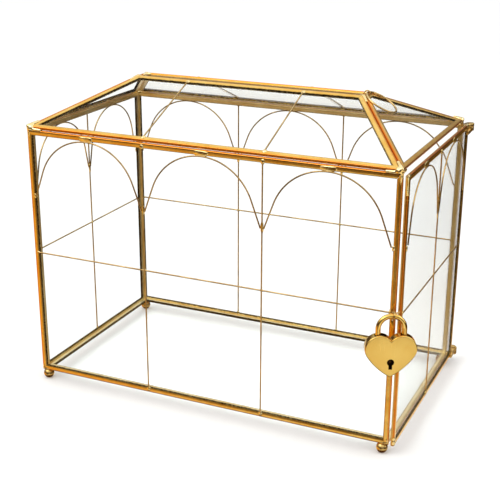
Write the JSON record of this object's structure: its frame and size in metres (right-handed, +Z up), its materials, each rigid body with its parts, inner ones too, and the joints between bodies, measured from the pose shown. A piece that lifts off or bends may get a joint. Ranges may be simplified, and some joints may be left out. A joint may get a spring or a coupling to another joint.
{
  "type": "wedding card box",
  "caption": "Glass house-shaped card box in gold came, with a hipped roof open as a card slot, a hinged glass end door, a pull ring and a heart padlock.",
  "frame": {"origin": "on the surface the box stands on, below the middle of the whole object's bounding box", "axes": "+X towards the door end, -Y towards the front wall, +Z up"},
  "size_m": [0.3296, 0.2116, 0.2572],
  "materials": {
    "clear_glass": "clear",
    "came_brass": "satin gold over brass",
    "wire_brass": "satin",
    "fitting_brass": "polished",
    "ring_brass": "polished",
    "lock_brass": "satin face, polished rim",
    "inner_brass": "machined",
    "spring_steel": "bright strip"
  },
  "bodies": {
    "case": {"base_glass": "clear_glass", "base_frame": "came_brass", "front_glass": "clear_glass", "front_frame": "came_brass", "front_wires": "wire_brass", "back_glass": "clear_glass", "back_frame": "came_brass", "back_wires": "wire_brass", "left_glass": "clear_glass", "left_frame": "came_brass", "left_wires": "wire_brass", "roof_front_glass": "clear_glass", "roof_front_frame": "came_brass", "roof_front_wires": "wire_brass", "roof_back_glass": "clear_glass", "roof_back_frame": "came_brass", "roof_back_wires": "wire_brass", "roof_left_glass": "clear_glass", "roof_left_frame": "came_brass", "roof_right_glass": "clear_glass", "roof_right_frame": "came_brass", "ball_feet": "fitting_brass", "case_hinge_lugs": "fitting_brass", "hinge_pins": "fitting_brass", "case_lock_eye": "fitting_brass", "ring_staple": "fitting_brass"},
    "door": {"door_glass": "clear_glass", "door_frame": "came_brass", "door_wires": "wire_brass", "door_hinge_lugs": "fitting_brass", "door_lock_eye": "fitting_brass"},
    "ring": {"pull_ring": "ring_brass"},
    "shackle": {"shackle": "lock_brass"},
    "lock_body": {"lock_back_shell": "lock_brass", "lock_front_plate": "lock_brass", "shackle_pivot_pin": "inner_brass", "key_post": "inner_brass", "latch_leaf_spring": "spring_steel"},
    "bolt": {"latch_bolt": "inner_brass"}
  },
  "joints": [
    {"name": "door_swing", "type": "hinge", "parent": "case", "child": "door", "pos_m": [0.14895, 0.1024, 0.11], "axis": [0, 0, 1], "range_deg": [0, 150]},
    {"name": "ring_flip", "type": "hinge", "parent": "case", "child": "ring", "pos_m": [0.0901, 0.0034, 0.25523], "axis": [0, -1, 0], "range_deg": [0, 120]},
    {"name": "lock_swing", "type": "hinge", "parent": "door", "child": "shackle", "pos_m": [0.1471, -0.09356, 0.11755], "axis": [-0.8988, -0.4384, 0], "range_deg": [0, 60]},
    {"name": "lock_open", "type": "hinge", "parent": "shackle", "child": "lock_body", "pos_m": [0.15474, -0.08984, 0.092], "axis": [0.4384, -0.8988, 0], "range_deg": [0, 45]},
    {"name": "latch_slide", "type": "slide", "parent": "lock_body", "child": "bolt", "axis": [-0.8988, -0.4384, 0], "range_m": [0, 0.0026]}
  ]
}
